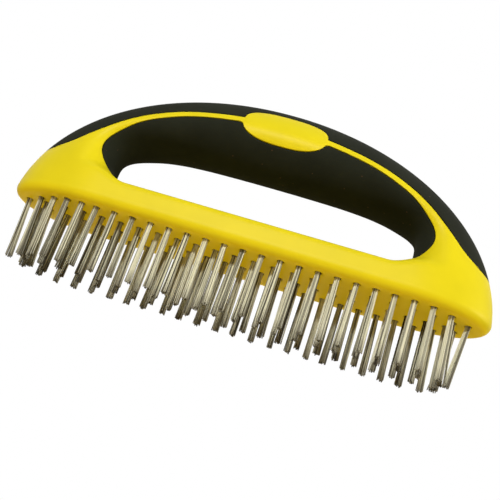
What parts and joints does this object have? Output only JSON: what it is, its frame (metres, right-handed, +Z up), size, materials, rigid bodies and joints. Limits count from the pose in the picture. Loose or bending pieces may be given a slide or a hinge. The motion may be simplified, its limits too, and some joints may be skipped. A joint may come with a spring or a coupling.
{
  "type": "hand wire scratch brush",
  "caption": "Hand wire scratch brush: a long moulded block with a D handle, soft grips over and inside the arch, and rows of steel wire tufts.",
  "frame": {"origin": "middle of the brush's length and width, at the wire tips", "axes": "+X along the block, -Y the front, +Z up from the tips to the handle"},
  "size_m": [0.2226, 0.044, 0.1075],
  "materials": {
    "yellow_plastic": "satin moulded plastic",
    "black_grip": "matt soft-touch elastomer",
    "steel_wire": "drawn carbon steel wire"
  },
  "bodies": {
    "root": {"brush_body": "yellow_plastic", "crown_grip": "black_grip", "finger_grip": "black_grip", "tufts_left_01": "steel_wire", "tufts_left_02": "steel_wire", "tufts_left_03": "steel_wire", "tufts_left_04": "steel_wire", "tufts_left_05": "steel_wire", "tufts_left_06": "steel_wire", "tufts_left_07": "steel_wire", "tufts_left_08": "steel_wire", "tufts_left_09": "steel_wire", "tufts_left_10": "steel_wire", "tufts_left_11": "steel_wire", "tufts_left_12": "steel_wire", "tufts_middle": "steel_wire", "tufts_right_01": "steel_wire", "tufts_right_02": "steel_wire", "tufts_right_03": "steel_wire", "tufts_right_04": "steel_wire", "tufts_right_05": "steel_wire", "tufts_right_06": "steel_wire", "tufts_right_07": "steel_wire", "tufts_right_08": "steel_wire", "tufts_right_09": "steel_wire", "tufts_right_10": "steel_wire", "tufts_right_11": "steel_wire", "tufts_right_12": "steel_wire"}
  },
  "joints": []
}
